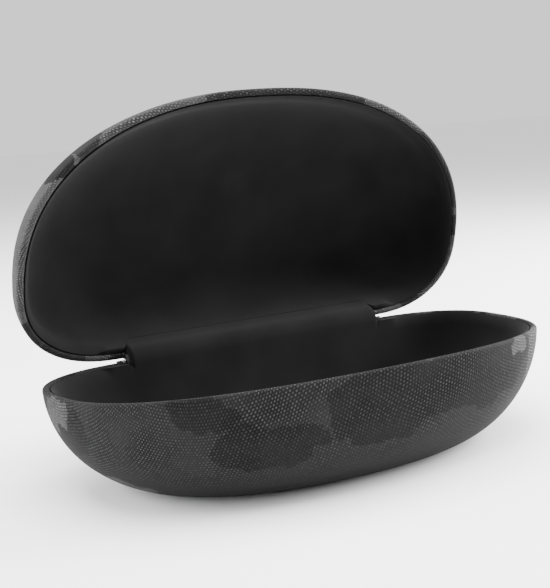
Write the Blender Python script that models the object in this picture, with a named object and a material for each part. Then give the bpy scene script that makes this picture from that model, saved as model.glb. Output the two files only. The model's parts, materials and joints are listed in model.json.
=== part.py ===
"""A hard clamshell eyeglasses case, standing open on its flat base.

Each half is a stack of cups, one inside the other: an outer cloth wrap that is turned in over the
rim, a pressed steel shell, a foam backing and a flocked lining.  A barrel hinge with two snap springs
joins the halves along the straight part of the back edge.

X runs along the hinge, -Y is the front, +Z is up.  The origin is the centre of the flat base, on the
surface that the case stands on.
"""

import math
from collections import namedtuple

import bmesh
import bpy
from mathutils import Matrix, Vector

MM = 0.001

# Outline of the case from above: a superellipse whose back edge is straight where the hinge runs.
LENGTH = 165.0 * MM
FRONT_REACH = 58.0 * MM         # from the widest line, y = 0 in the outline, to the front edge
BACK_REACH = 26.0 * MM          # from the widest line to the straight back edge
FRONT_ROUNDNESS = 2.3           # superellipse exponents: 2 is an ellipse, more is squarer
BACK_ROUNDNESS = 2.3
SEAM_RISE = 3.5 * MM            # how far the seam climbs from the hinge to the front

# The two halves, measured from the seam's height at the hinge.
LOWER_DEPTH = 32.5 * MM
LID_DEPTH = 28.5 * MM
LOWER_FLAT = (0.64, 0.62)       # flat floor's share of the outline, along X and along Y
LID_FLAT = (0.60, 0.45)
LOWER_BEND = (1.9, 1.9)         # exponents of the wall's curve from rim to floor, along X and Y
LID_BEND = (2.25, 1.8)
RIM_GAP = 0.3 * MM              # between the two rims when the case is shut
OPEN_ANGLE = math.radians(75.0)

# Thickness of each layer, outside to inside, and the play between layers.
GAP = 0.25 * MM
WRAP = 0.7 * MM
STEEL = 0.45 * MM
HEM = 0.4 * MM
HEM_LENGTH = 2.0 * MM
LEAF = 0.5 * MM
PAD_FLOOR = 1.5 * MM
LINING = 0.8 * MM

# Hinge.
HINGE_HALF = 46.0 * MM          # half the barrel's length
BARREL_R = 1.5 * MM
BORE_R = 0.85 * MM
PIN_R = 0.6 * MM
PIN_REACH = 2.0 * MM            # the pin stands this far out of each end of the barrel
PIN_HEAD_R = 0.85 * MM
PIN_HEAD = 0.5 * MM
PIN_TIP = 2.5 * MM              # the thin black end that the pin was drawn from, beyond its head
PIN_TIP_GAP = 0.1 * MM          # between the tip and the outer back wall that it passes
AXIS_OFFSET = 0.4 * MM          # the axis lies this far behind the outer back wall
BARREL_CLEARANCE = 0.4 * MM     # between the barrel and the rims that are notched for it
NOTCH_END_CLEARANCE = 0.5 * MM
NOTCH_STEP = 0.6 * MM
END_KNUCKLE = 12.5 * MM
MIDDLE_KNUCKLE = 24.0 * MM
SPRING_BAY = 8.0 * MM
LEAF_HEIGHT = 9.0 * MM
LEAF_SAG = 0.25 * MM            # room for the flat leaf beside the curved wall
RIVET_DROP = 7.0 * MM
RIVET_SHARES = (-0.8, -0.3, 0.3, 0.8)   # places along half the hinge
RIVET_WAIST_R = 0.9 * MM
RIVET_HEAD_R = 1.4 * MM
SPRING_COIL_R = 1.15 * MM
SPRING_WIRE_R = 0.28 * MM
SPRING_TURNS = 5
SPRING_LEG = 2.1 * MM
SPRING_STEPS = 10               # facets in each turn
SPRING_SIDES = 6

# Strips that cross the hinge.
SPINE = 0.6 * MM
SPINE_REACH = 9.0 * MM
SPINE_INSET = 0.5 * MM          # the spine stops this short of the barrel's ends
HINGE_LINING = 0.6 * MM
LINING_NOTCH = 5.0 * MM         # the linings stop this far from the axis along the hinge
PAD_TOP = 8.0 * MM              # the foam backing stops this far below the seam

# Facets.
FRONT_STEPS = 20
CORNER_STEPS = 7
BACK_STEPS = 4
WALL_ROWS = 6
LEAST_STEP = 0.5 * MM
BEND_STEPS = 8
ROUND_SIDES = 16
SMOOTH_ANGLE = math.radians(35.0)

# Worked out from the sizes above.
SHELL_OUT = WRAP + GAP
SHELL_IN = SHELL_OUT + STEEL
HEM_OUT = SHELL_IN + GAP
HEM_IN = HEM_OUT + HEM
LEAF_OUT = HEM_IN + GAP
LEAF_IN = LEAF_OUT + LEAF
LINING_OUT = LEAF_IN + GAP + LEAF_SAG
LINING_IN = LINING_OUT + LINING
PAD_OUT = HEM_OUT + GAP
PAD_IN = LINING_OUT - GAP
LINING_FLOOR_OUT = HEM_OUT + PAD_FLOOR + GAP
LINING_FLOOR_IN = LINING_FLOOR_OUT + LINING
NOTCH_HALF = HINGE_HALF + PIN_REACH + PIN_HEAD + NOTCH_END_CLEARANCE
STRAIGHT_HALF = NOTCH_HALF + NOTCH_STEP
NOTCH_DEPTH = BARREL_R + BARREL_CLEARANCE
BASE_CENTRE_Y = LOWER_FLAT[1] * (BACK_REACH - FRONT_REACH) / 2
AXIS = Vector((0, BACK_REACH + AXIS_OFFSET - BASE_CENTRE_Y, LOWER_DEPTH))

Half = namedtuple("Half", "name depth flat bend lid")
LOWER = Half("lower", LOWER_DEPTH, LOWER_FLAT, LOWER_BEND, False)
LID = Half("lid", LID_DEPTH, LID_FLAT, LID_BEND, True)


# ---------------------------------------------------------------- materials and objects

def material(name, colour, roughness, metallic=0.0):
    found = bpy.data.materials.get(name)
    if found:
        return found
    made = bpy.data.materials.new(name)
    made.use_nodes = True
    shader = made.node_tree.nodes["Principled BSDF"]
    shader.inputs["Base Color"].default_value = (*colour, 1.0)
    shader.inputs["Roughness"].default_value = roughness
    shader.inputs["Metallic"].default_value = metallic
    return made


def wrap_material():
    return material("wrap_cloth", (0.075, 0.075, 0.075), 0.8)


def lining_material():
    return material("flocked_lining", (0.012, 0.012, 0.012), 0.95)


def shell_material():
    return material("shell_steel", (0.45, 0.45, 0.46), 0.4, 1.0)


def hinge_material():
    return material("hinge_steel", (0.62, 0.62, 0.63), 0.3, 1.0)


def foam_material():
    return material("backing_foam", (0.05, 0.05, 0.055), 0.9)


def add_object(name, mesh, look):
    """A new object in the scene; a smooth look comes from its mesh's own angles."""
    mesh.materials.append(look)
    mesh.shade_smooth()
    mesh.set_sharp_from_angle(angle=SMOOTH_ANGLE)
    made = bpy.data.objects.new(name, mesh)
    bpy.context.scene.collection.objects.link(made)
    return made


def mesh_from(bm, name):
    bmesh.ops.recalc_face_normals(bm, faces=bm.faces)
    mesh = bpy.data.meshes.new(name)
    bm.to_mesh(mesh)
    bm.free()
    return mesh


def skinned(loops, name):
    """A closed body: faces between each loop of points and the next, and a face over both ends."""
    bm = bmesh.new()
    rows = [[bm.verts.new(point) for point in loop] for loop in loops]
    count = len(rows[0])
    for low, high in zip(rows, rows[1:]):
        for i in range(count):
            j = (i + 1) % count
            bm.faces.new((low[i], low[j], high[j], high[i]))
    bm.faces.new(rows[0])
    bm.faces.new(rows[-1])
    return mesh_from(bm, name)


def lid_axis_empty():
    """The lid's frame: on the hinge axis, turned from shut to open."""
    empty = bpy.data.objects.new("lid_axis", None)
    empty.location = AXIS
    empty.rotation_euler = (-OPEN_ANGLE, 0, 0)
    bpy.context.scene.collection.objects.link(empty)
    return empty


# ---------------------------------------------------------------- the cups

def columns():
    """Places round the outline: the straight back edge, a corner, the front, the other corner."""
    back = [NOTCH_HALF * (1 - 2 * i / BACK_STEPS) for i in range(BACK_STEPS + 1)]
    found = [("back", x) for x in back]
    found.append(("back", -STRAIGHT_HALF))
    quarter = [math.pi / 2 * (1 - i / CORNER_STEPS) for i in range(1, CORNER_STEPS)]
    found += [("left", a) for a in quarter]
    found += [("front", math.pi * (1 + i / FRONT_STEPS)) for i in range(FRONT_STEPS + 1)]
    found += [("right", a) for a in reversed(quarter)]
    found.append(("back", STRAIGHT_HALF))
    return found


def superellipse(angle, exponent):
    """The point of a unit superellipse at this angle of its parameter."""
    c = math.cos(angle)
    s = math.sin(angle)
    x = math.copysign(abs(c) ** (2 / exponent), c)
    y = math.copysign(abs(s) ** (2 / exponent), s)
    return x, y


def outline(column, inset):
    """The outline's point in this column, moved in by the inset."""
    kind, value = column
    half_length = LENGTH / 2 - inset
    if kind == "back":
        return value, BACK_REACH - inset
    if kind == "front":
        x, y = superellipse(value, FRONT_ROUNDNESS)
        return half_length * x, (FRONT_REACH - inset) * y
    x, y = superellipse(value, BACK_ROUNDNESS)
    side = -1 if kind == "left" else 1
    x = side * (STRAIGHT_HALF + (half_length - STRAIGHT_HALF) * x)
    return x, (BACK_REACH - inset) * y


def at_hinge(column):
    kind, value = column
    return kind == "back" and abs(value) <= NOTCH_HALF


def rim_height(half, column):
    """The rim's height above the seam plane; a lid is worked out upside down."""
    forward = min(outline(column, 0)[1], 0) / FRONT_REACH
    seam = SEAM_RISE * forward ** 2
    return -(seam + RIM_GAP) if half.lid else seam


def wall_point(half, column, inset, floor_inset, z):
    """The point at height z of the wall that lies inset from the outside, open end up."""
    rim = rim_height(half, column)
    share = min(max((rim - z) / (rim + half.depth - floor_inset), 0), 1)
    across = []
    for value, flat, bend in zip(outline(column, inset), half.flat, half.bend):
        curve = max(1 - share ** bend, 0) ** (1 / bend)
        across.append(value * (flat + (1 - flat) * curve))
    return Vector((across[0], across[1], z))


def ring(half, inset, floor_inset, drop, hinge_drop=None):
    """One loop of the wall, at this drop below the rim and a deeper one beside the hinge."""
    if hinge_drop is None:
        hinge_drop = drop + NOTCH_DEPTH
    points = []
    for column in columns():
        down = hinge_drop if at_hinge(column) else drop
        z = rim_height(half, column) - down
        points.append(wall_point(half, column, inset, floor_inset, z))
    return points


def wall_rings(half, inset, floor_inset, drop, hinge_drop):
    """Loops from below the rim down to the flat floor, closer together near the floor.

    They lie at the same shares of the depth in every layer, so the layers' facets are parallel.
    """
    floor = -(half.depth - floor_inset)
    loops = []
    for row in range(1, WALL_ROWS + 1):
        share = math.sin(math.pi / 2 * row / WALL_ROWS)
        points = []
        for column in columns():
            rim = rim_height(half, column)
            down = hinge_drop if at_hinge(column) else drop
            z = rim + (floor - rim) * share
            z = max(min(z, rim - down - row * LEAST_STEP), floor)
            points.append(wall_point(half, column, inset, floor_inset, z))
        loops.append(points)
    return loops


def place(half, point):
    """From the open-end-up frame of the cups to the object's frame, or to the lid's own frame."""
    if half.lid:
        return Vector((point.x, point.y - BACK_REACH - AXIS_OFFSET, -point.z))
    return Vector((point.x, point.y - BASE_CENTRE_Y, point.z + LOWER_DEPTH))


def loft(half, loops, name):
    """A body skinned over loops that are given open end up."""
    return skinned([[place(half, point) for point in loop] for loop in loops], name)


def make_wrap(half):
    """The cloth: outer skin, turned over the rim, with a hem inside."""
    ease = 0.35 * MM
    skin_drop = ease + GAP / 2
    fold = WRAP
    outer = wall_rings(half, 0, 0, skin_drop, skin_drop + NOTCH_DEPTH)
    inner = wall_rings(half, WRAP, WRAP, fold, fold + NOTCH_DEPTH)
    rim = [
        ring(half, 0, 0, skin_drop),
        ring(half, ease, 0, 0),
        ring(half, HEM_IN - ease, 0, 0),
        ring(half, HEM_IN, 0, ease),
        ring(half, HEM_IN, 0, fold + HEM_LENGTH),
        ring(half, HEM_OUT, 0, fold + HEM_LENGTH),
        ring(half, HEM_OUT, 0, fold),
        ring(half, WRAP, WRAP, fold),
    ]
    loops = outer[::-1] + rim + inner
    name = half.name + "_wrap"
    return add_object(name, loft(half, loops, name), wrap_material())


def make_cup(half, name, look, outside, inside, drop, hinge_drop, top_inset=None):
    """A plain cup between two walls, each (inset, floor inset); its rim may lie further out."""
    outer = wall_rings(half, *outside, drop, hinge_drop)
    inner = wall_rings(half, *inside, drop, hinge_drop)
    thickness = inside[0] - outside[0]
    rim_out = ring(half, *outside, drop, hinge_drop)
    rim_in = ring(half, *inside, drop, hinge_drop)
    if top_inset is not None:
        wide_out = ring(half, top_inset, outside[1], drop, hinge_drop)
        wide_in = ring(half, top_inset + thickness, inside[1], drop, hinge_drop)
        for i, column in enumerate(columns()):
            if not at_hinge(column):
                rim_out[i] = wide_out[i]
                rim_in[i] = wide_in[i]
    loops = outer[::-1] + [rim_out, rim_in] + inner
    return add_object(name, loft(half, loops, name), look)


def make_shell(half):
    drop = WRAP + GAP
    name = half.name + "_shell"
    outside = (SHELL_OUT, SHELL_OUT)
    inside = (SHELL_IN, SHELL_IN)
    return make_cup(half, name, shell_material(), outside, inside, drop, drop + NOTCH_DEPTH)


def make_pad(half):
    name = half.name + "_pad"
    outside = (PAD_OUT, HEM_OUT)
    inside = (PAD_IN, HEM_OUT + PAD_FLOOR)
    hinge_drop = LEAF_HEIGHT + 4 * GAP
    return make_cup(half, name, foam_material(), outside, inside, PAD_TOP, hinge_drop)


def make_lining(half):
    name = half.name + "_lining"
    outside = (LINING_OUT, LINING_FLOOR_OUT)
    inside = (LINING_IN, LINING_FLOOR_IN)
    drop = GAP
    top = HEM_IN + GAP
    look = lining_material()
    return make_cup(half, name, look, outside, inside, drop, LINING_NOTCH, top)


# ---------------------------------------------------------------- the hinge

def spun(profile, sides, name):
    """A body turned about the X axis from (x, radius) points, with a flat face at each end."""
    angles = [2 * math.pi * i / sides for i in range(sides)]
    loops = [[(x, r * math.cos(a), r * math.sin(a)) for a in angles] for x, r in profile]
    return skinned(loops, name)


def box_mesh(low, high, name):
    bm = bmesh.new()
    bmesh.ops.create_cube(bm, size=1)
    for vert in bm.verts:
        share = vert.co + Vector((0.5, 0.5, 0.5))
        vert.co = [a + (b - a) * s for a, b, s in zip(low, high, share)]
    return mesh_from(bm, name)


def cutter(mesh, operation, target):
    """Joins or cuts the target with this mesh, through a modifier on the target."""
    tool = bpy.data.objects.new(mesh.name, mesh)
    bpy.context.scene.collection.objects.link(tool)
    tool.parent = target.parent
    tool.hide_render = True
    tool.display_type = "WIRE"
    change = target.modifiers.new(mesh.name, "BOOLEAN")
    change.object = tool
    change.operation = operation
    change.solver = "EXACT"
    return tool


def knuckles(half):
    """(start, end) along X of each barrel piece that belongs to this half's leaf."""
    middle = MIDDLE_KNUCKLE / 2
    if not half.lid:
        end = HINGE_HALF - END_KNUCKLE
        return [(-HINGE_HALF, -end), (-middle, middle), (end, HINGE_HALF)]
    inner = middle + SPRING_BAY
    outer = HINGE_HALF - END_KNUCKLE - GAP
    return [(-outer, -inner), (inner, outer)]


def leaf_outer_face(half, z):
    """Where the flat plate's outer face lies along Y, from the axis, at this distance from it."""
    wall = wall_point(half, ("back", 0.0), LEAF_OUT, LEAF_OUT, -LEAF_HEIGHT)
    foot = wall.y - BACK_REACH - AXIS_OFFSET
    top = -(AXIS_OFFSET + LEAF_OUT)
    return top + (foot - top) * z / LEAF_HEIGHT


def plate_mesh(half, top, half_width, name):
    """The leaf's plate, from top down to the leaf's foot, leaning in with the wall."""
    side = 1 if half.lid else -1
    corners = ((top, 0), (LEAF_HEIGHT, 0), (LEAF_HEIGHT, LEAF), (top, LEAF))
    loops = []
    for x in (-half_width, half_width):
        loops.append([(x, leaf_outer_face(half, z) - depth, side * z) for z, depth in corners])
    return skinned(loops, name)


def make_leaf(half):
    """A hinge leaf: a plate inside the shell and rolled knuckles that reach out to the axis.

    It is built about the hinge axis, with the plate on the side of its own half.
    """
    name = half.name + "_hinge_leaf"
    side = 1 if half.lid else -1
    overlap = LEAF / 4
    arm_top = BARREL_R - overlap
    arm_low = arm_top - LEAF
    arm_ends = sorted((side * arm_low, side * arm_top))
    inner = leaf_outer_face(half, arm_top) - LEAF
    plate = plate_mesh(half, arm_low + overlap, HINGE_HALF - GAP, name)
    leaf = add_object(name, plate, hinge_material())
    leaf.location = AXIS
    for i, (start, end) in enumerate(knuckles(half)):
        low = (start + overlap, inner + overlap, arm_ends[0])
        high = (end - overlap, -overlap, arm_ends[1])
        arm = box_mesh(low, high, f"{name}_arm_{i}")
        barrel = spun([(start, BARREL_R), (end, BARREL_R)], ROUND_SIDES, f"{name}_barrel_{i}")
        bore_ends = (start - 4 * overlap, end + 4 * overlap)
        bore = spun([(x, BORE_R) for x in bore_ends], ROUND_SIDES, f"{name}_bore_{i}")
        for mesh, operation in ((arm, "UNION"), (barrel, "UNION"), (bore, "DIFFERENCE")):
            cutter(mesh, operation, leaf).location = AXIS
    return leaf


def rivet_ends(half):
    """Outer and inner end of a rivet along Y, from the hinge axis, at the rivet's height."""
    wall = wall_point(half, ("back", 0.0), SHELL_OUT, SHELL_OUT, -RIVET_DROP)
    return wall.y - BACK_REACH - AXIS_OFFSET, leaf_outer_face(half, RIVET_DROP) - LEAF


def rivet_mesh(half, extra, name):
    """A flush rivet, waisted between two countersunk ends, along Y; a larger one cuts its hole."""
    outer, inner = rivet_ends(half)
    reach = 2 * extra
    profile = [
        (inner - reach, RIVET_HEAD_R + extra),
        (inner + LEAF, RIVET_WAIST_R + extra),
        (outer - STEEL, RIVET_WAIST_R + extra),
        (outer + reach, RIVET_HEAD_R + extra),
    ]
    mesh = spun(profile, ROUND_SIDES, name)
    mesh.transform(Matrix.Rotation(math.pi / 2, 4, "Z"))
    return mesh


def rivet_place(half, share):
    side = 1 if half.lid else -1
    return Vector((share * HINGE_HALF, 0, side * RIVET_DROP))


def make_rivets(half, leaf, shell):
    """Four rivets, and their holes in the leaf and in the shell."""
    made = []
    for i, share in enumerate(RIVET_SHARES, 1):
        name = f"{half.name}_rivet_{i}"
        rivet = add_object(name, rivet_mesh(half, 0, name), hinge_material())
        rivet.location = AXIS + rivet_place(half, share)
        made.append(rivet)
        for target in (leaf, shell):
            hole = rivet_mesh(half, GAP, f"{name}_hole_{target.name}")
            cutter(hole, "DIFFERENCE", target).location = rivet.location
    return made


def make_pin():
    """The hinge pin, with a flattened head beyond each end of the barrel and a thin tip on it."""
    head = HINGE_HALF + PIN_REACH
    end = head + PIN_HEAD
    tip = end + PIN_TIP
    tip_radius = AXIS_OFFSET - PIN_TIP_GAP
    profile = [(-tip, tip_radius), (-end, tip_radius)]
    profile += [(-end, PIN_HEAD_R), (-head, PIN_HEAD_R), (-head, PIN_R)]
    profile += [(-x, radius) for x, radius in reversed(profile)]
    pin = add_object("hinge_pin", spun(profile, ROUND_SIDES, "hinge_pin"), hinge_material())
    pin.location = AXIS
    return pin


def tube(points, radius, sides, name):
    """A round wire along the points, closed at both ends."""
    loops = []
    side = Vector((1, 0, 0))
    for i, point in enumerate(points):
        before = points[max(i - 1, 0)]
        after = points[min(i + 1, len(points) - 1)]
        along = (after - before).normalized()
        side = (side - along * side.dot(along)).normalized()
        other = along.cross(side)
        loop = []
        for k in range(sides):
            angle = 2 * math.pi * k / sides
            loop.append(point + radius * (math.cos(angle) * side + math.sin(angle) * other))
        loops.append(loop)
    return skinned(loops, name)


def make_spring(name, side):
    """A snap spring round the pin, with one leg under the lower leaf's edge and one on the lid's."""
    clear = 2 * SPRING_WIRE_R
    start = MIDDLE_KNUCKLE / 2 + clear
    width = SPRING_BAY - 2 * clear
    lower_angle = -math.pi / 2
    lid_angle = math.pi / 2 - OPEN_ANGLE + math.pi / 2
    sweep = lid_angle - lower_angle + 2 * math.pi * SPRING_TURNS
    steps = round(SPRING_STEPS * sweep / (2 * math.pi))
    coil = []
    for i in range(steps + 1):
        angle = lower_angle + sweep * i / steps
        x = start + width * i / steps
        coil.append(Vector((x, SPRING_COIL_R * math.cos(angle), SPRING_COIL_R * math.sin(angle))))
    lower_leg = coil[0] + Vector((0, -SPRING_LEG, 0))
    away = lid_angle + math.pi / 2
    lid_leg = coil[-1] + SPRING_LEG * Vector((0, math.cos(away), math.sin(away)))
    points = [lower_leg] + coil + [lid_leg]
    points = [Vector((side * p.x, p.y, p.z)) for p in points]
    spring = add_object(name, tube(points, SPRING_WIRE_R, SPRING_SIDES, name), hinge_material())
    spring.location = AXIS
    return spring


# ---------------------------------------------------------------- strips across the hinge

def opened(y, z):
    """A point of the shut lid, from the axis, turned to where the open lid has it."""
    c = math.cos(OPEN_ANGLE)
    s = math.sin(OPEN_ANGLE)
    return Vector((0, y * c + z * s, z * c - y * s))


def strip(name, path, thickness, half_width, look):
    """A strip of cloth that follows a path in the YZ plane, from the hinge axis."""
    sides = []
    for offset in (thickness / 2, -thickness / 2):
        edge = []
        for i, point in enumerate(path):
            before = path[max(i - 1, 0)]
            after = path[min(i + 1, len(path) - 1)]
            along = (after - before).normalized()
            edge.append(point + offset * Vector((0, -along.z, along.y)))
        sides.append(edge)
    bm = bmesh.new()
    rails = []
    for x in (-half_width, half_width):
        rails.append([[bm.verts.new(p + Vector((x, 0, 0))) for p in edge] for edge in sides])
    (left_top, left_low), (right_top, right_low) = rails
    for i in range(len(path) - 1):
        bm.faces.new((left_top[i], left_top[i + 1], right_top[i + 1], right_top[i]))
        bm.faces.new((left_low[i], right_low[i], right_low[i + 1], left_low[i + 1]))
        bm.faces.new((left_top[i], left_low[i], left_low[i + 1], left_top[i + 1]))
        bm.faces.new((right_top[i], right_top[i + 1], right_low[i + 1], right_low[i]))
    for i in (0, -1):
        bm.faces.new((left_top[i], right_top[i], right_low[i], left_low[i]))
    made = add_object(name, mesh_from(bm, name), look)
    made.location = AXIS
    return made


def make_spine():
    """The wrap's spine: down the lower back wall, round the barrel and up the lid's back wall."""
    out = -AXIS_OFFSET + GAP + SPINE / 2
    radius = BARREL_R + GAP + SPINE / 2
    lean = math.asin(out / radius)
    first = -math.pi / 2 + lean
    last = math.pi / 2 - OPEN_ANGLE - lean
    path = [Vector((0, out, -SPINE_REACH))]
    for i in range(BEND_STEPS + 1):
        angle = first + (last - first) * i / BEND_STEPS
        path.append(Vector((0, radius * math.cos(angle), radius * math.sin(angle))))
    path.append(opened(out, SPINE_REACH))
    return strip("wrap_spine", path, SPINE, HINGE_HALF - SPINE_INSET, wrap_material())


def make_hinge_lining():
    """The lining's strip over the hinge: from the lower lining's edge to the lid lining's edge."""
    inward = -(AXIS_OFFSET + (LINING_OUT + LINING_IN) / 2)
    end = LINING_NOTCH - GAP
    bend_start = NOTCH_DEPTH / 2
    corner_z = -inward * math.tan(OPEN_ANGLE / 2)
    first = Vector((0, inward, -bend_start))
    corner = Vector((0, inward, corner_z))
    last = opened(inward, bend_start)
    path = [Vector((0, inward, -end))]
    for i in range(BEND_STEPS + 1):
        t = i / BEND_STEPS
        path.append((1 - t) ** 2 * first + 2 * t * (1 - t) * corner + t ** 2 * last)
    path.append(opened(inward, end))
    return strip("hinge_lining", path, HINGE_LINING, HINGE_HALF - GAP, lining_material())


# ---------------------------------------------------------------- assembly

def hang_on(empty, piece):
    """Puts a piece that was placed from the hinge axis in the lid's frame."""
    piece.parent = empty
    piece.location -= AXIS


def make_half(half, lid_axis):
    wrap = make_wrap(half)
    shell = make_shell(half)
    pad = make_pad(half)
    lining = make_lining(half)
    if half.lid:
        for cup in (wrap, shell, pad, lining):
            cup.parent = lid_axis
    leaf = make_leaf(half)
    rivets = make_rivets(half, leaf, shell)
    if half.lid:
        tools = [m.object for target in (leaf, shell) for m in target.modifiers]
        for piece in [leaf] + rivets + tools:
            hang_on(lid_axis, piece)


def main():
    for old in list(bpy.data.objects):
        bpy.data.objects.remove(old)
    lid_axis = lid_axis_empty()
    make_half(LOWER, None)
    make_half(LID, lid_axis)
    make_pin()
    make_spring("snap_spring_left", -1)
    make_spring("snap_spring_right", 1)
    make_spine()
    make_hinge_lining()


main()
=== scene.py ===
"""Looks of the hard clamshell eyeglasses case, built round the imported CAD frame.

The cloth wraps, linings and the two strips over the hinge are modelled here as fine meshes that
follow the CAD walls, and two small cloth rings at the hinge's ends are added.  The steel and foam
pieces stay as CAD made them and get better materials.
Lengths are in metres; MM turns millimetres into metres.
"""

import json
import math

import bpy
import numpy as np
from mathutils import Matrix, Vector


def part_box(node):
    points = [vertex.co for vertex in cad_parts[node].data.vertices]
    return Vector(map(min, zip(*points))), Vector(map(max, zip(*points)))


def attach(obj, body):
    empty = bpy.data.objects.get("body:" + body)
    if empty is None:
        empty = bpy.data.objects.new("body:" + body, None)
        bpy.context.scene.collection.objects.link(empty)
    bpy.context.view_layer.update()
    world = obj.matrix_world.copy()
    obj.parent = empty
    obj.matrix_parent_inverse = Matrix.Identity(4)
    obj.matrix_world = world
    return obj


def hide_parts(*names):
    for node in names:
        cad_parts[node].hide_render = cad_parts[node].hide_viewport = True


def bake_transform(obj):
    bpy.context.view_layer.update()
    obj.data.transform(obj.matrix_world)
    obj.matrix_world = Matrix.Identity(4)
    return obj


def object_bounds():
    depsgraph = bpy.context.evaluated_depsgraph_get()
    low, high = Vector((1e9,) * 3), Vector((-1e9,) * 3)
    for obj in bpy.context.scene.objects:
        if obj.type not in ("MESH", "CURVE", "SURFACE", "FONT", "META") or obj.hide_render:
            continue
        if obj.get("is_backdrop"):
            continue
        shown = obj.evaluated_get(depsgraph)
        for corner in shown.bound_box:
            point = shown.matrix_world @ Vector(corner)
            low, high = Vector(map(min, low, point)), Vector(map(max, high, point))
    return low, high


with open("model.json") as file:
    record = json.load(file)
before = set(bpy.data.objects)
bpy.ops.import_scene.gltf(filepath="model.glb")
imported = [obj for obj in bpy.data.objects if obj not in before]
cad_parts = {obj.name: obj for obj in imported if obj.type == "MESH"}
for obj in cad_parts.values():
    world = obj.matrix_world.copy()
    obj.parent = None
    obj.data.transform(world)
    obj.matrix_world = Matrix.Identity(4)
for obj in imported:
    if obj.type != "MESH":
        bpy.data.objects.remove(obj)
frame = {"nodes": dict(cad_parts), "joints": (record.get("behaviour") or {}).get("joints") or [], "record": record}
cad_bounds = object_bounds()

MM = 0.001

# ---------------------------------------------------------------- sizes, from the frame or as in CAD

joint = frame["joints"][0]
AXIS = np.array(joint["pos_m"])
OPEN_ANGLE = math.radians(joint["range_deg"][1])
low_corner, high_corner = (np.array(c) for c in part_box("lower_wrap"))
HALF_LENGTH = high_corner[0]
DEPTH_Y = high_corner[1] - low_corner[1]
FRONT_SHARE = 58 / 84                       # of the depth, in front of the widest line
FRONT_REACH = DEPTH_Y * FRONT_SHARE
BACK_REACH = DEPTH_Y - FRONT_REACH
WIDEST_Y = high_corner[1] - BACK_REACH
LOWER_DEPTH = AXIS[2]
SEAM_RISE = high_corner[2] - LOWER_DEPTH
LID_DEPTH = 28.5 * MM
ROUNDNESS = 2.3                             # superellipse exponent of the outline
HINGE_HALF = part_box("lower_hinge_leaf")[1][0]
STRAIGHT_HALF = HINGE_HALF + 3.6 * MM       # half the outline's straight back edge
NOTCH_HALF = HINGE_HALF + 1.2 * MM          # the cloth's rims are let in for the barrel up to here
NOTCH_DEPTH = 1.9 * MM
NOTCH_FADE = 0.6 * MM
BARREL_R = 1.5 * MM
PIN_END_START = HINGE_HALF + 3.0 * MM       # the pin is black from here to its tip
RIM_GAP = 0.3 * MM
# Each half's floor as shares of its rim, and its walls' exponents, both along X and along Y.
SHAPES = {"lower": ((0.64, 0.62), (1.9, 1.9)), "lid": ((0.60, 0.45), (2.25, 1.8))}

# Insets of the surfaces from the outside of the case.
WRAP = 0.7 * MM
HEM_OUT = 1.65 * MM
HEM_IN = 2.1 * MM
LINING_EDGE = 1.95 * MM                     # the lining's glued top edge, on the hem
LINING_OUT = 3.3 * MM
LINING_IN = 4.05 * MM
LINING_FLOOR_OUT = 3.45 * MM
LINING_FLOOR_IN = 4.15 * MM

# Depths below the rim.
ROLL_DROP = 0.9 * MM                        # height of the cloth's roll over the rim
HEM_FOOT = 2.7 * MM
LINING_DROP = 0.5 * MM                      # the lining's edge
LINING_FLARE = 5.0 * MM                     # the lining leans out to its edge over this depth
LINING_NOTCH = 5.0 * MM                     # its edge is this much lower under the hinge's strip

# The lining beside the hinge: its edge steps up again at the strip's sides, over this width and as
# far past the hinge, and its inside doesn't flare up to the second measure, faded over the third.
LINING_STEP = 0.3 * MM
NEAR_HINGE = 8.0 * MM
NEAR_FADE = 7.0 * MM

# The strips over the hinge and the rings at its ends.
STRIP_EDGE = 0.4 * MM                       # a strip thins over this width at its sides
STRIP_END = 0.8 * MM                        # and over this length at its ends
STRIP_TURN = 0.7 * MM                       # width of the lining strip's turned-in sides
STRIP_TURN_DEPTH = 0.8                      # how far they turn in, as a share of the way to the axis
LINING_STRIP_HALF = HINGE_HALF + 0.6 * MM
SPINE_THICKNESS = 0.6 * MM
SPINE_HALF = NOTCH_HALF + 0.4 * MM
RING_R = 1.35 * MM
RING_ROLL_R = 0.62 * MM

WRAP_COLUMNS = 1100
LINING_COLUMNS = 420

# The cloth's pattern, in millimetres on the flat cloth.
THREAD_X = 0.92
THREAD_Y = 0.565
PRINT_WANDER = 13.0                         # its edges wander by up to half of this either way
UNSEEN_X, UNSEEN_Y = -85.0, -32.0           # the photo shows little of it where both are greater
UNSEEN_FADE = 14.0                          # and the print made up there sets in over this distance


# ---------------------------------------------------------------- the case's walls

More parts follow.
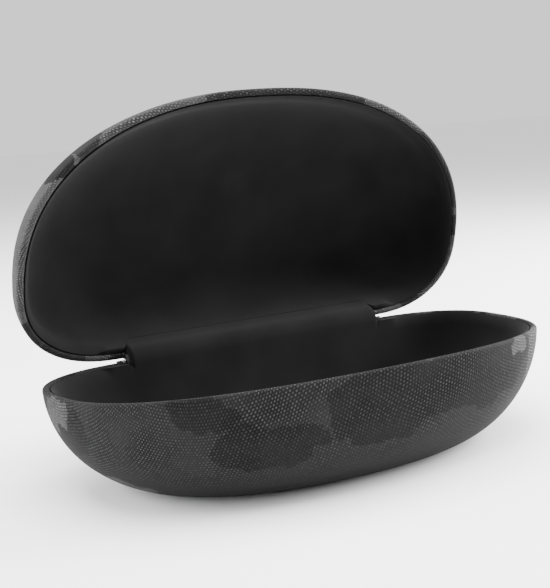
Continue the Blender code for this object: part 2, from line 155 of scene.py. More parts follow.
class Outline:
    """Points evenly spread round the case's outline, which can be read at any inset."""

    def __init__(self, count):
        fine = 4000
        angle = np.linspace(0, 2 * math.pi, fine, endpoint=False)
        c, s = np.cos(angle), np.sin(angle)
        unit_x = np.sign(c) * np.abs(c) ** (2 / ROUNDNESS)
        unit_y = np.sign(s) * np.abs(s) ** (2 / ROUNDNESS)
        back = angle < math.pi
        straight = 400
        first = back & (angle < math.pi / 2)
        rest = back & ~first
        front = ~back
        line = np.linspace(STRAIGHT_HALF, -STRAIGHT_HALF, straight + 2)[1:-1]
        ones = np.ones(straight)
        self.centre_x = np.concatenate([
            np.full(first.sum(), STRAIGHT_HALF), line, np.full(rest.sum(), -STRAIGHT_HALF),
            np.zeros(front.sum())])
        self.start_x = np.concatenate([
            np.full(first.sum(), STRAIGHT_HALF), 0 * ones, np.full(rest.sum(), STRAIGHT_HALF),
            np.zeros(front.sum())])
        self.unit_x = np.concatenate([unit_x[first], 0 * ones, unit_x[rest], unit_x[front]])
        self.reach = np.concatenate([
            np.full(first.sum() + straight + rest.sum(), BACK_REACH),
            np.full(front.sum(), FRONT_REACH)])
        self.unit_y = np.concatenate([unit_y[first], ones, unit_y[rest], unit_y[front]])
        self._spread(count)

    def _spread(self, count):
        """Keeps this many points, evenly spaced along the outline."""
        x, y = self.at(0)
        step = np.hypot(np.diff(np.append(x, x[0])), np.diff(np.append(y, y[0])))
        along = np.concatenate([[0], np.cumsum(step)])
        want = np.arange(count) * along[-1] / count
        place = np.interp(want, along, np.arange(len(along)))
        low = np.floor(place).astype(int) % len(x)
        high = (low + 1) % len(x)
        share = place - np.floor(place)
        # No point is read between two stretches whose starts or reaches differ.
        share[self.reach[low] != self.reach[high]] = 0
        share[self.start_x[low] != self.start_x[high]] = 0
        for name in ("centre_x", "start_x", "unit_x", "reach", "unit_y"):
            value = getattr(self, name)
            setattr(self, name, value[low] * (1 - share) + value[high] * share)

    def at(self, inset):
        """The outline's x and y at this inset."""
        x = self.centre_x + (HALF_LENGTH - inset - self.start_x) * self.unit_x
        y = (self.reach - inset) * self.unit_y
        return x, y

    def seam(self):
        """How far the seam stands above its height at the hinge."""
        forward = np.minimum(self.unit_y, 0)
        return SEAM_RISE * forward ** 2

    def notch(self, half_width, fade):
        """1 beside the hinge, 0 elsewhere, with a smooth step of this width outside half_width."""
        x = self.at(0)[0]
        share = np.clip((half_width + fade - np.abs(x)) / fade, 0, 1)
        smooth = share * share * (3 - 2 * share)
        return np.where(self.unit_y > 0.9, smooth, 0)


class Half:
    """One half of the case; a lid is worked out with its open end up, then turned."""

    def __init__(self, name):
        self.name = name
        self.lid = name == "lid"
        self.flat, self.bend = SHAPES[name]
        self.depth = LID_DEPTH if self.lid else LOWER_DEPTH
        self.body = "lid" if self.lid else "base"

    def rim(self, outline):
        """The rim's height above the hinge axis, with the open end up."""
        return -(outline.seam() + RIM_GAP) if self.lid else outline.seam()

    def wall(self, outline, inset, floor_inset, z):
        """Points (count, 3) of the wall at this inset and these heights."""
        rim = self.rim(outline)
        share = np.clip((rim - z) / (rim + self.depth - floor_inset), 0, 1)
        x, y = outline.at(inset)
        across = []
        for value, flat, bend in ((x, self.flat[0], self.bend[0]), (y, self.flat[1], self.bend[1])):
            curve = np.maximum(1 - share ** bend, 0) ** (1 / bend)
            across.append(value * (flat + (1 - flat) * curve))
        return np.stack([across[0], across[1], z + 0 * x], axis=1)

    def place(self, points):
        """From the open-end-up frame to where the half is at rest."""
        x, y, z = points[:, 0], points[:, 1], points[:, 2]
        if not self.lid:
            return np.stack([x, y + WIDEST_Y, z + LOWER_DEPTH], axis=1)
        return opened(np.stack([x, y + WIDEST_Y - AXIS[1], -z], axis=1))


def opened(points):
    """Points of the shut lid, from the hinge axis, where the open lid has them."""
    c, s = math.cos(OPEN_ANGLE), math.sin(OPEN_ANGLE)
    x, y, z = points[:, 0], points[:, 1], points[:, 2]
    return np.stack([x, y * c + z * s + AXIS[1], z * c - y * s + AXIS[2]], axis=1)


def even_shares(half, rows):
    """Shares of the depth that lie evenly along the front wall's curve, without the rim's own 0."""
    share = np.sin(np.linspace(0, math.pi / 2, 400))
    curve = np.maximum(1 - share ** half.bend[1], 0) ** (1 / half.bend[1])
    y = FRONT_REACH * (half.flat[1] + (1 - half.flat[1]) * curve)
    along = np.concatenate([[0], np.cumsum(np.hypot(np.diff(y), np.diff(share * half.depth)))])
    return np.interp(np.linspace(0, along[-1], rows + 1), along, share)[1:]


# ---------------------------------------------------------------- meshes

def filled(loop, rings):
    """Copies of a flat loop that grow from its middle outwards, without the loop itself."""
    middle = loop.mean(axis=0)
    return [middle + (loop - middle) * k / rings for k in range(1, rings)]


def grid_faces(rows, count):
    """Quads between each of these closed loops of count points and the next."""
    i = np.arange(count)
    j = (i + 1) % count
    faces = []
    for low in range(0, (rows - 1) * count, count):
        high = low + count
        faces += np.stack([low + i, low + j, high + j, high + i], axis=1).tolist()
    return faces


def loft(name, loops, body, look, cloth=None):
    """A closed body through loops of points, capped by a fan at each end."""
    count = len(loops[0])
    faces = grid_faces(len(loops), count)
    tips = len(loops) * count
    last = tips - count
    for i in range(count):
        j = (i + 1) % count
        faces.append([tips, j, i])
        faces.append([last + i, last + j, tips + 1])
    return add_mesh(name, capped(loops), faces, body, look, cloth and capped(cloth))


def capped(loops):
    """All the loops' rows, and then the middles of the first and the last loop."""
    return np.concatenate(loops + [loops[0].mean(axis=0)[None], loops[-1].mean(axis=0)[None]])


def add_mesh(name, verts, faces, body, look, cloth=None):
    """A smooth-shaded piece; cloth holds each vertex's place on the flat cloth and up the wall."""
    mesh = bpy.data.meshes.new(name)
    mesh.from_pydata(verts.tolist(), [], faces)
    mesh.update()
    if signed_volume(verts, faces) < 0:
        mesh.flip_normals()
    if cloth is not None:
        index = np.empty(len(mesh.loops), dtype=np.int32)
        mesh.loops.foreach_get("vertex_index", index)
        rise = np.stack([cloth[:, 2], 0 * cloth[:, 2]], axis=1)
        for layer_name, values in (("cloth", cloth[:, :2]), ("rise", rise)):
            layer = mesh.uv_layers.new(name=layer_name)
            layer.data.foreach_set("uv", values[index].astype(np.float32).ravel())
    mesh.shade_smooth()
    mesh.materials.append(look)
    piece = bpy.data.objects.new(name, mesh)
    bpy.context.scene.collection.objects.link(piece)
    if body:
        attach(piece, body)
    return piece


def signed_volume(verts, faces):
    """About six times the volume, without the end fans: negative when the faces point inwards."""
    quads = np.array([f for f in faces if len(f) == 4])
    a, b, c, d = (verts[quads[:, k]] for k in range(4))
    return (a * np.cross(b, c)).sum() + (a * np.cross(c, d)).sum()


def cloth_coordinates(loops, first_wall):
    """Where each point of the loops lies on the flat cloth and how far up the wall, in millimetres.

    The cloth is laid on the flat floor and drawn up the walls: on the floor its threads run along X
    and Y, and on a wall a point lies as far out from the floor's edge as the cloth's length up to it.
    """
    edge = loops[first_wall][:, :2]
    ahead = np.roll(edge, -3, axis=0) - np.roll(edge, 3, axis=0)
    out = np.stack([ahead[:, 1], -ahead[:, 0]], axis=1)
    out /= np.linalg.norm(out, axis=1)[:, None]
    out *= np.sign((out * edge).sum())
    found = []
    length = np.zeros(len(edge))
    for k, loop in enumerate(loops):
        if k <= first_wall:
            flat = loop[:, :2]
        else:
            length = length + np.linalg.norm(loop - loops[k - 1], axis=1)
            flat = edge + out * length[:, None]
        found.append(np.concatenate([flat, length[:, None]], axis=1) / MM)
    return found


def flat_cut(loops, first_wall, edge):
    """The box and the area, in metres, of the cloth laid out flat, from the floor to this edge loop."""
    outline = cloth_coordinates(loops[:edge + 1], first_wall)[edge][:, :2] * MM
    x, y = outline[:, 0], outline[:, 1]
    area = abs(np.dot(x, np.roll(y, -1)) - np.dot(y, np.roll(x, -1))) / 2
    return (np.ptp(x), np.ptp(y)), area


def make_wrap(half, look):
    """The woven wrap: outer skin, rolled over the rim, and a hem inside."""
    outline = Outline(WRAP_COLUMNS)
    rim = half.rim(outline) - NOTCH_DEPTH * outline.notch(NOTCH_HALF, NOTCH_FADE)

    def wall(inset, share, drop, floor_inset=0.0):
        """The wall's points at this share of the way from drop below the rim to the floor."""
        start = rim - drop
        z = start - (start + half.depth - floor_inset) * share
        return half.wall(outline, inset, floor_inset, z)

    shares = [0.0] + list(even_shares(half, 46))
    loops = [wall(0, share, ROLL_DROP) for share in reversed(shares)]
    roll_steps = 12
    for k in range(1, roll_steps):
        angle = math.pi * k / roll_steps
        inset = HEM_IN / 2 * (1 - math.cos(angle))
        loops.append(half.wall(outline, inset, 0, rim - ROLL_DROP * (1 - math.sin(angle))))
    fold = WRAP + 0.1 * MM
    for inset, drop in ((HEM_IN, ROLL_DROP), (HEM_IN, HEM_FOOT), (HEM_OUT, HEM_FOOT), (HEM_OUT, fold)):
        loops.append(half.wall(outline, inset, 0, rim - drop))
    loops.append(half.wall(outline, WRAP, WRAP, rim - fold))
    for share in (0.1, 0.25, 0.5, 0.75, 0.95, 1.0):
        loops.append(wall(WRAP, share, fold, WRAP))
    crown = filled(loops[0], 10)
    loops = crown + loops
    uvs = cloth_coordinates(loops, len(crown))
    placed = [half.place(p) for p in loops]
    name = half.name + "_cloth"
    piece = loft(name, placed, half.body, look, uvs)
    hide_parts(half.name + "_wrap")
    hem_foot = len(crown) + len(shares) + roll_steps
    flat, area = flat_cut(loops, len(crown), hem_foot)


def make_lining(half, look):
    """The flocked lining: a soft thin cup whose top edge is glued on the hem below the rim."""
    outline = Outline(LINING_COLUMNS)
    beside = outline.notch(HINGE_HALF + LINING_STEP, LINING_STEP)
    notch = outline.notch(NOTCH_HALF, NOTCH_FADE)
    near = outline.notch(HINGE_HALF + NEAR_HINGE, NEAR_FADE)
    rim = half.rim(outline) - np.maximum(NOTCH_DEPTH * notch, LINING_NOTCH * beside)

    def surface(inset, floor_inset, share, drop, edge, even):
        """The wall at this share of the way down, flaring out to the edge's inset near its top.

        It doesn't flare where even is 1, which is beside the strip at the hinge.
        """
        start = rim - drop
        z = start - (start + half.depth - floor_inset) * share
        below = np.clip((rim - z) / LINING_FLARE, 0, 1)
        below = 1 - (1 - below) ** 3
        spread = edge + (inset - edge) * np.maximum(below, even)
        return half.wall(outline, spread, floor_inset, z)

    inside = (LINING_IN, LINING_FLOOR_IN)
    outside = (LINING_OUT, LINING_FLOOR_OUT)
    loops = []
    for share in reversed([0.0, 0.001, 0.006, 0.015, 0.03, 0.05] + list(even_shares(half, 40)[2:])):
        loops.append(surface(*inside, share, LINING_DROP, LINING_EDGE + 0.1 * MM, near))
    top_edge = len(loops) - 1
    loops.append(surface(*outside, 0, LINING_DROP + 0.1 * MM, LINING_EDGE, beside))
    for share in (0.02, 0.05, 0.1, 0.25, 0.5, 0.7, 0.85, 0.95, 1.0):
        loops.append(surface(*outside, share, LINING_DROP + 0.1 * MM, LINING_EDGE, beside))
    floor = filled(loops[0], 14)
    loops = floor + loops
    placed = [half.place(p) for p in loops]
    name = half.name + "_flock"
    piece = loft(name, placed, half.body, look)
    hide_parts(half.name + "_lining")
    flat, area = flat_cut(loops, len(floor), len(floor) + top_edge)


def strip(name, path, thickness, half_width, look, columns, blunt=False):
    """A strip across the hinge, along a path of (y, z) points from the axis, and its flat size.

    Its sides and ends are thin; a blunt strip's ends are not, and its sides turn in to the axis.
    """
    path = np.array(path)
    thinned = 0 if blunt else 0.7
    ahead = np.gradient(path, axis=0)
    ahead /= np.linalg.norm(ahead, axis=1)[:, None]
    out = np.stack([-ahead[:, 1], ahead[:, 0]], axis=1)
    along = np.concatenate([[0], np.cumsum(np.linalg.norm(np.diff(path, axis=0), axis=1))])
    xs = np.linspace(-half_width, half_width, columns)
    turned = 0 * xs
    if blunt:
        turns = np.linspace(0, math.pi / 2, 9)[1:]
        past = half_width + STRIP_TURN * np.sin(turns)
        xs = np.concatenate([-past[::-1], xs, past])
        turned = np.concatenate([(1 - np.cos(turns))[::-1], turned, 1 - np.cos(turns)])
        turned = turned * STRIP_TURN_DEPTH
    columns = len(xs)
    thin = np.minimum((xs[-1] - np.abs(xs)) / STRIP_EDGE, 1) * 0.6 + 0.4
    loops = []
    cloth = []
    for n, point in enumerate(path):
        end = min(along[n], along[-1] - along[n])
        taper = 1 - thinned * (1 - min(end / STRIP_END, 1))
        for side in (1, -1):
            offset = side * thickness / 2 * thin * taper
            y = AXIS[1] + (point[0] + out[n, 0] * offset) * (1 - turned)
            z = AXIS[2] + (point[1] + out[n, 1] * offset) * (1 - turned)
            loops.append(np.stack([xs, y, z], axis=1)[::side])
            # A rise this small keeps the weave faint.
            cloth.append(np.stack([xs, along[n] + 0 * xs, HEM_FOOT + 0 * xs], axis=1)[::side] / MM)
    loops = [np.concatenate(pair) for pair in zip(loops[::2], loops[1::2])]
    verts = np.concatenate(loops)
    faces = grid_faces(len(loops), 2 * columns)
    for first in (0, (len(loops) - 1) * 2 * columns):
        for i in range(columns - 1):
            far = 2 * columns - 1 - i
            face = [first + i, first + far, first + far - 1, first + i + 1]
            faces.append(face if first == 0 else face[::-1])
    piece = add_mesh(name, verts, faces, None, look, np.concatenate(cloth))
    return piece, (np.ptp(xs), along[-1])


def opened_yz(y, z):
    """A (y, z) point of the shut lid, from the axis, where the open lid has it."""
    found = opened(np.array([[0.0, y, z]]))[0] - AXIS
    return found[1], found[2]


def make_spine(look):
    """The wrap's spine behind the hinge, from the lower back wall round the barrel to the lid's."""
    out = 0.15 * MM
    radius = BARREL_R + 0.25 * MM + SPINE_THICKNESS / 2
    lean = math.asin(out / radius)
    first = -math.pi / 2 + lean
    last = math.pi / 2 - OPEN_ANGLE - lean
    reach = AXIS[2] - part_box("wrap_spine")[0][2]
    near, steps = 2 * MM, 12                # the straight stretches stop this near the axis
    path = [(out, -reach + (reach - near) * k / steps) for k in range(steps)]
    path += [(radius * math.cos(a), radius * math.sin(a)) for a in np.linspace(first, last, 16)]
    path += [opened_yz(out, near + (reach - near) * k / steps) for k in range(1, steps + 1)]
    piece, flat = strip("spine_cloth", path, SPINE_THICKNESS, SPINE_HALF, look, 240)
    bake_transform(piece)
    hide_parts("wrap_spine")


def make_hinge_lining(look):
    """The lining's strip over the hinge, flush with the linings above and below it."""
    bend_start = 0.95 * MM
    end = LINING_NOTCH + LINING_DROP + 0.05 * MM
    steps = 8
    walls = {}
    for half in (Half("lower"), Half("lid")):
        outline = Outline(LINING_COLUMNS)
        middle = np.argmin(np.abs(outline.at(0)[0]) + 9 * (outline.unit_y < 0))
        heights = [-(bend_start + (end - bend_start) * k / steps) for k in range(steps)]
        heights += [-end + 0.03 * MM, -end]
        faces = [(LINING_IN, LINING_FLOOR_IN), (LINING_OUT, LINING_FLOOR_OUT)]
        places = [[half.wall(outline, *face, z)[middle, 1] for z in heights] for face in faces]
        back = np.mean(places, axis=0) + WIDEST_Y - AXIS[1]
        walls[half.name] = list(zip(back, heights))
    lower = walls["lower"]
    lid = [opened_yz(y, -z) for y, z in walls["lid"]]
    first, last = np.array(lower[0]), np.array(lid[0])
    corner = first[0] * np.array([1, -math.tan(OPEN_ANGLE / 2)])
    path = lower[:0:-1]
    for t in np.linspace(0, 1, 20):
        path.append(tuple((1 - t) ** 2 * first + 2 * t * (1 - t) * corner + t * t * last))
    path += lid[1:]
    piece, flat = strip("hinge_flock", path, LINING_IN - LINING_OUT, LINING_STRIP_HALF, look,
                        120, blunt=True)
    tuple(AXIS + np.array([0, *first]))
    tuple(AXIS + np.array([0, *last]))
    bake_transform(piece)
    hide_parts("hinge_lining")


def make_binding(side, look):
    """The cloth turned in round the pin at one end of the slit between the two rims."""
    sides, steps = 20, 40
    middle = AXIS + np.array([side * (HINGE_HALF + 0.7 * MM + RING_ROLL_R), 0, 0])
    verts = []
    cloth = []
    for i in range(steps):
        around = 2 * math.pi * i / steps
        for k in range(sides):
            roll = 2 * math.pi * k / sides
            r = RING_R + RING_ROLL_R * math.cos(roll)
            x = RING_ROLL_R * math.sin(roll)
            verts.append(middle + (x, r * math.cos(around), r * math.sin(around)))
            cloth.append((around * RING_R / MM, roll * RING_ROLL_R / MM, HEM_FOOT / MM))
    faces = []
    for i in range(steps):
        for k in range(sides):
            low, high = i * sides, (i + 1) % steps * sides
            j = (k + 1) % sides
            faces.append([low + k, low + j, high + j, high + k])
    name = "slit_binding_left" if side < 0 else "slit_binding_right"
    add_mesh(name, np.array(verts), faces, "base", look, np.array(cloth))


# ---------------------------------------------------------------- materials

class Nodes:
    """Short calls for building a material's node tree."""

    def __init__(self, name):
        self.material = bpy.data.materials.new(name)
        self.material.use_nodes = True
        self.tree = self.material.node_tree
        self.shader = self.tree.nodes["Principled BSDF"]

    def new(self, kind, **settings):
        node = self.tree.nodes.new(kind)
        for key, value in settings.items():
            setattr(node, key, value)
        return node

    def link(self, source, target):
        self.tree.links.new(source, target)

    def feed(self, socket, value):
        """Sets the socket to a number, or links another socket to it."""
        if isinstance(value, (int, float)):
            socket.default_value = value
        else:
            self.link(value, socket)

    def math(self, operation, a, b=0.0, c=0.0, clamp=False):
        node = self.new("ShaderNodeMath", operation=operation, use_clamp=clamp)
        for socket, value in zip(node.inputs, (a, b, c)):
            self.feed(socket, value)
        return node.outputs[0]

    def noise(self, vector, scale, detail=2.0, roughness=0.5):
        node = self.new("ShaderNodeTexNoise")
        self.link(vector, node.inputs["Vector"])
        node.inputs["Scale"].default_value = scale
        node.inputs["Detail"].default_value = detail
        node.inputs["Roughness"].default_value = roughness
        return node.outputs["Fac"]

    def ramp(self, value, stops):
        """A colour ramp through (place, grey) stops."""
        node = self.new("ShaderNodeValToRGB")
        self.link(value, node.inputs["Fac"])
        elements = node.color_ramp.elements
        while len(elements) < len(stops):
            elements.new(0.5)
        for element, (place, level) in zip(elements, stops):
            element.position = place
            element.color = grey(level)
        return node.outputs["Color"]

    def separate(self, vector):
        node = self.new("ShaderNodeSeparateXYZ")
        self.link(vector, node.inputs[0])
        return node.outputs

    def tinted(self, colour, share):
        """The colour times a number."""
        node = self.new("ShaderNodeVectorMath", operation="SCALE")
        self.link(colour, node.inputs[0])
        self.link(share, node.inputs["Scale"])
        return node.outputs[0]

    def bump(self, height, distance, strength=1.0):
        node = self.new("ShaderNodeBump")
        node.inputs["Strength"].default_value = strength
        node.inputs["Distance"].default_value = distance
        self.link(height, node.inputs["Height"])
        self.link(node.outputs["Normal"], self.shader.inputs["Normal"])


def grey(value):
    """An opaque grey."""
    return (value, value, value, 1.0)


# The print's three tones, where each begins on a scale from 0 to 1, and a place inside each.
DARK_TONE, MIDDLE_TONE, LIGHT_TONE = 0.0105, 0.0165, 0.044
MIDDLE_START, LIGHT_START = 0.40, 0.62
DARK, MIDDLE, LIGHT = 0.2, 0.5, 0.8

# Patches of the printed camouflage on each half's flat cloth, in millimetres: middle, half width,
# half height, turn in degrees, and tone. A later patch covers an earlier one.
LOWER_PATCHES = [
    (-89, -12, 6.5, 12, -14, DARK),
    (-96, -3, 5.0, 14, -14, LIGHT),
    (-57, -67, 13, 5.5, -14, DARK),
    (-36, -62, 16, 7, -10, DARK),
    (-2, -72, 20, 13, 0, DARK),
    (28, -73, 30, 12, 8, DARK),
    (10, -60, 7, 4.5, 0, MIDDLE),
    (50, -72, 6, 4, 20, LIGHT),
    (67, -58, 10, 13, -25, LIGHT),
    (86, -30, 10, 14, -10, MIDDLE),
    (96, -4, 9, 15, 0, LIGHT),
    (88, 24, 9, 12, 20, DARK),
]
LID_PATCHES = [
    (-95, -18, 14, 40, 0, LIGHT),
    (-78, -52, 22, 18, 30, LIGHT),
    (-66, -54, 8, 7, 20, DARK),
    (-38, -70, 24, 10, 8, LIGHT),
    (10, -70, 12, 6, 0, MIDDLE),
    (48, -64, 18, 10, -15, LIGHT),
    (84, -30, 14, 30, 0, MIDDLE),
    (95, 20, 12, 22, 0, LIGHT),
]


def wrap_look(name, patches, seed):
    """Plain-woven cloth printed with a three-tone grey camouflage.

    The dots of the weave are its raised threads: they lie in columns, and every other column is
    moved by half a step.
    """
    m = Nodes(name)
    flat = m.new("ShaderNodeUVMap", uv_map="cloth").outputs["UV"]
    rise = m.separate(m.new("ShaderNodeUVMap", uv_map="rise").outputs["UV"])[0]
    drift = m.noise(flat, 0.05, 1.0)
    s, t = m.separate(flat)[:2]

    # The threads, a little askew on the case, and where each point lies among them.
    warp_turn, weft_turn = math.radians(8), math.radians(3)
    warp = m.math("MULTIPLY_ADD", s, math.cos(warp_turn), m.math("MULTIPLY", t, math.sin(warp_turn)))
    weft = m.math("MULTIPLY_ADD", t, math.cos(weft_turn), m.math("MULTIPLY", s, -math.sin(weft_turn)))
    warp = m.math("MULTIPLY_ADD", drift, 3.0, warp)
    weft = m.math("MULTIPLY_ADD", drift, -2.0, weft)
    column = m.math("DIVIDE", warp, THREAD_X)
    row = m.math("DIVIDE", weft, THREAD_Y)

    def wave(count, turns):
        return m.math("COSINE", m.math("MULTIPLY", count, turns * math.pi))

    brick = m.math("MULTIPLY", wave(column, 1), wave(row, 1))
    raised = m.math("MULTIPLY_ADD", wave(column, 2), 0.8, brick)
    dot = m.math("MULTIPLY_ADD", raised, 0.6, 0.08, clamp=True)
    which = m.new("ShaderNodeCombineXYZ")
    m.link(m.math("ROUND", m.math("MULTIPLY", m.math("ADD", column, row), 0.5)), which.inputs[0])
    m.link(m.math("ROUND", m.math("MULTIPLY", m.math("SUBTRACT", column, row), 0.5)), which.inputs[1])
    each = m.new("ShaderNodeTexWhiteNoise", noise_dimensions="3D")
    m.link(which.outputs[0], each.inputs["Vector"])
    dot = m.math("MULTIPLY", dot, m.math("MULTIPLY_ADD", each.outputs["Value"], 1.0, 0.4))

    # The cloth is pressed flatter towards the floor, and its dots fade there, both in relief and in their painted
    # highlights and shade.
    worn = m.math("MULTIPLY_ADD", m.noise(flat, 0.06, 2.0), 2.0, -0.35, clamp=True)
    crisp = m.math("MULTIPLY_ADD", rise, 0.034, -0.25, clamp=True)
    crisp = m.math("MAXIMUM", m.math("MULTIPLY", crisp, worn), 0.12)
    height = m.math("MULTIPLY", dot, crisp)
    m.bump(height, 0.16 * MM, 0.8)

    # The print, in steps of one thread so that its edges are ragged.
    cell = m.new("ShaderNodeVectorMath", operation="SNAP")
    m.link(flat, cell.inputs[0])
    cell.inputs[1].default_value = (THREAD_X, THREAD_Y, 1)
    ragged = m.new("ShaderNodeTexNoise", noise_dimensions="3D")
    m.link(cell.outputs[0], ragged.inputs["Vector"])
    ragged.inputs["Scale"].default_value = 0.12
    ragged.inputs["Detail"].default_value = 2.0
    wobble = m.new("ShaderNodeVectorMath", operation="MULTIPLY_ADD")
    m.link(ragged.outputs["Color"], wobble.inputs[0])
    wobble.inputs[1].default_value = (PRINT_WANDER, PRINT_WANDER, 0)
    m.link(cell.outputs[0], wobble.inputs[2])
    moved = m.new("ShaderNodeVectorMath", operation="SUBTRACT")
    m.link(wobble.outputs[0], moved.inputs[0])
    moved.inputs[1].default_value = (PRINT_WANDER / 2, PRINT_WANDER / 2, 0)
    place = moved.outputs[0]

    # Where the photo shows little of it the print is a cloud noise, elsewhere it is middle-toned,
    # and the patches lie over both.
    x, y = m.separate(place)[:2]
    behind = m.math("MULTIPLY_ADD", y, 1 / UNSEEN_FADE, -UNSEEN_Y / UNSEEN_FADE, clamp=True)
    right = m.math("MULTIPLY_ADD", x, 1 / UNSEEN_FADE, -UNSEEN_X / UNSEEN_FADE, clamp=True)
    unseen = m.math("MULTIPLY", behind, right)
    shifted = m.new("ShaderNodeVectorMath", operation="ADD")
    m.link(place, shifted.inputs[0])
    shifted.inputs[1].default_value = (seed * 100.0, 0, 0)
    cloud = m.math("SUBTRACT", m.noise(shifted.outputs[0], 0.035, 1.0), 0.5)
    field = m.math("MULTIPLY_ADD", m.math("MULTIPLY", cloud, unseen), 2.2, 0.5)
    for px, py, half_w, half_h, turn, value in patches:
        spot = m.new("ShaderNodeMapping", vector_type="TEXTURE")
        m.link(place, spot.inputs["Vector"])
        spot.inputs["Location"].default_value = (px, py, 0)
        spot.inputs["Rotation"].default_value = (0, 0, math.radians(turn))
        spot.inputs["Scale"].default_value = (half_w, half_h, 1)
        far = m.new("ShaderNodeVectorMath", operation="LENGTH")
        m.link(spot.outputs[0], far.inputs[0])
        inside = m.math("LESS_THAN", far.outputs["Value"], 1.0)
        field = m.math("MULTIPLY_ADD", inside, m.math("SUBTRACT", value, field), field)
    stops = [(0.0, DARK_TONE), (MIDDLE_START, MIDDLE_TONE), (LIGHT_START, LIGHT_TONE)]
    tone = m.ramp(field, stops)
    tone.node.color_ramp.interpolation = "CONSTANT"

    # Painted shade in the gaps between the raised threads and painted highlights on them, and uneven dye.
    dye = m.math("MULTIPLY_ADD", m.noise(flat, 0.9, 4.0, 0.7), 0.7, 0.65)
    # Painted light on the weave: the raised threads are painted lighter and the gaps between them darker.
    thread_highlight_and_gap_shade = m.math("MULTIPLY", m.math("MULTIPLY_ADD", dot, 2.4, -0.75), crisp)
    shade = m.math("MULTIPLY", m.math("ADD", thread_highlight_and_gap_shade, 1.0), dye)
    m.link(m.tinted(tone, shade), m.shader.inputs["Base Color"])
    m.shader.inputs["Roughness"].default_value = 0.8
    m.shader.inputs["Specular IOR Level"].default_value = 0.06
    m.shader.inputs["Sheen Weight"].default_value = 0.012
    m.shader.inputs["Sheen Roughness"].default_value = 0.4
    return m.material


def lining_look():
    """Short black flock."""
    m = Nodes("black_flock")
    place = m.new("ShaderNodeTexCoord").outputs["Object"]
    fibre = m.noise(place, 4500.0, 3.0, 0.7)
    patch = m.noise(place, 60.0, 2.0)
    m.bump(m.math("MULTIPLY_ADD", patch, 0.6, fibre), 0.12 * MM, 0.6)
    m.link(m.ramp(patch, [(0.3, 0.007), (0.7, 0.0105)]), m.shader.inputs["Base Color"])
    m.shader.inputs["Roughness"].default_value = 1.0
    m.shader.inputs["Specular IOR Level"].default_value = 0.05
    m.shader.inputs["Sheen Weight"].default_value = 0.04
    m.shader.inputs["Sheen Roughness"].default_value = 0.5
    return m.material


def steel_marks(m):
    """Steel's fine marks, from 0 to 1, which are also put in its relief, and each point's place."""
    place = m.new("ShaderNodeTexCoord").outputs["Object"]
    marks = m.noise(place, 2500.0, 4.0, 0.6)
    m.bump(marks, 0.02 * MM, 0.4)
    return marks, place


def metal_look(name, tone, roughness):
    """Plain steel with fine marks."""
    m = Nodes(name)
    marks = steel_marks(m)[0]
    m.link(m.ramp(marks, [(0.3, tone * 0.8), (0.7, tone)]), m.shader.inputs["Base Color"])
    m.shader.inputs["Metallic"].default_value = 1.0
    m.shader.inputs["Roughness"].default_value = roughness
    return m.material


def pin_look():
    """The steel pin, black towards its tips."""
    m = Nodes("pin_finish")
    marks, place = steel_marks(m)
    side = m.math("ABSOLUTE", m.separate(place)[0])
    bare = m.math("LESS_THAN", side, PIN_END_START)
    tone = m.math("MULTIPLY_ADD", bare, 0.5, 0.012)
    shade = m.math("MULTIPLY", tone, m.math("MULTIPLY_ADD", marks, 0.3, 0.85))
    m.link(shade, m.shader.inputs["Base Color"])
    m.link(bare, m.shader.inputs["Metallic"])
    m.link(m.math("MULTIPLY_ADD", bare, -0.35, 0.6), m.shader.inputs["Roughness"])
    return m.material


def foam_look():
    """Open grey foam."""
    m = Nodes("grey_foam")
    place = m.new("ShaderNodeTexCoord").outputs["Object"]
    cells = m.noise(place, 1800.0, 2.0)
    m.link(m.ramp(cells, [(0.3, 0.03), (0.7, 0.06)]), m.shader.inputs["Base Color"])
    m.bump(cells, 0.1 * MM, 0.6)
    m.shader.inputs["Roughness"].default_value = 0.9
    return m.material


def floor_look():
    """A plain matt studio floor."""
    m = Nodes("pale_floor")
    m.shader.inputs["Base Color"].default_value = grey(0.95)
    m.shader.inputs["Roughness"].default_value = 0.8
    m.shader.inputs["Specular IOR Level"].default_value = 0.0
    return m.material


def finish_cad_nodes():
    """Better materials for the steel and foam pieces that stay as CAD made them."""
    looks = {
        "shell_steel": metal_look("shell_steel_finish", 0.45, 0.4),
        "hinge_steel": metal_look("hinge_steel_finish", 0.12, 0.4),
        "backing_foam": foam_look(),
    }
    for part in frame["record"]["subparts"]:
        look = looks.get(part["material_slot"])
        if part["node"] == "hinge_pin":
            look = pin_look()
        if look:
            node = frame["nodes"][part["node"]]
            node.data.materials.clear()
            node.data.materials.append(look)


# ---------------------------------------------------------------- studio

def camera_matrix(place, yaw, pitch, roll):
    """A camera that looks along +Y, turned right by yaw, down by pitch and rolled."""
    level = math.cos(pitch)
    ahead = np.array([math.sin(yaw) * level, math.cos(yaw) * level, -math.sin(pitch)])
    right = np.array([math.cos(yaw), -math.sin(yaw), 0.0])
    up = np.cross(right, ahead)
    turned_right = math.cos(roll) * right + math.sin(roll) * up
    turned_up = -math.sin(roll) * right + math.cos(roll) * up
    matrix = Matrix.Identity(4)
    for row in range(3):
        matrix[row][0] = turned_right[row]
        matrix[row][1] = turned_up[row]
        matrix[row][2] = -ahead[row]
        matrix[row][3] = place[row]
    return matrix


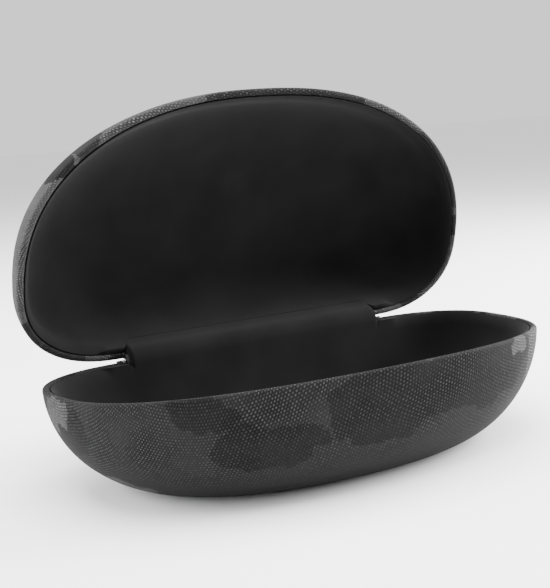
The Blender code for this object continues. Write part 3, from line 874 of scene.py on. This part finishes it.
def add_camera():
    """At the front left, looking a little down: fitted to the photo's contours with the outline."""
    data = bpy.data.cameras.new("camera")
    data.sensor_width = 36
    data.lens = 67.81
    data.clip_start = 0.01
    camera = bpy.data.objects.new("camera", data)
    bpy.context.scene.collection.objects.link(camera)
    place = (-173.99 * MM, -301.61 * MM + WIDEST_Y, 70.24 * MM + LOWER_DEPTH)
    camera.matrix_world = camera_matrix(place, yaw=0.5075, pitch=0.1487, roll=-0.07)
    bpy.context.scene.camera = camera


def add_light(name, place, target, size, power):
    """A rectangular soft light that faces its target."""
    data = bpy.data.lights.new(name, "AREA")
    data.shape = "RECTANGLE"
    data.size, data.size_y = size
    data.energy = power
    light = bpy.data.objects.new(name, data)
    light.location = place
    aim = Vector(target) - Vector(place)
    light.rotation_euler = aim.to_track_quat("-Z", "Y").to_euler()
    bpy.context.scene.collection.objects.link(light)


def add_studio():
    """A wide pale floor, an even pale surround, a soft light overhead and one at each side."""
    reach = 12.0
    corners = [(-reach, -reach, 0), (reach, -reach, 0), (reach, reach, 0), (-reach, reach, 0)]
    mesh = bpy.data.meshes.new("floor")
    mesh.from_pydata(corners, [], [(0, 1, 2, 3)])
    mesh.materials.append(floor_look())
    floor = bpy.data.objects.new("floor", mesh)
    floor.location.z = -0.3 * MM
    bpy.context.scene.collection.objects.link(floor)
    floor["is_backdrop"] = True
    world = bpy.data.worlds.new("studio")
    world.use_nodes = True
    background = world.node_tree.nodes["Background"]
    background.inputs["Color"].default_value = grey(1.0)
    background.inputs["Strength"].default_value = 1.15
    bpy.context.scene.world = world
    target = (0, 0, 0.04)
    add_light("top", (0.0, 0.0, 0.9), target, size=(0.9, 0.9), power=28.0)
    add_light("left", (-0.6, 0.3, 0.26), target, size=(0.5, 0.5), power=9.0)
    add_light("right", (0.65, -0.08, 0.28), target, size=(0.5, 0.5), power=22.0)


def main():
    add_camera()
    lower_cloth = wrap_look("lower_camouflage", LOWER_PATCHES, 1)
    lid_cloth = wrap_look("lid_camouflage", LID_PATCHES, 2)
    flock = lining_look()
    for half, cloth in ((Half("lower"), lower_cloth), (Half("lid"), lid_cloth)):
        make_wrap(half, cloth)
        make_lining(half, flock)
    make_spine(lower_cloth)
    make_hinge_lining(flock)
    for side in (-1, 1):
        make_binding(side, lower_cloth)
    finish_cad_nodes()
    add_studio()


main()
boxes = {"cad": cad_bounds, "visual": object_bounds()}
{k: [[float(c) for c in corner] for corner in v] for k, v in boxes.items()}
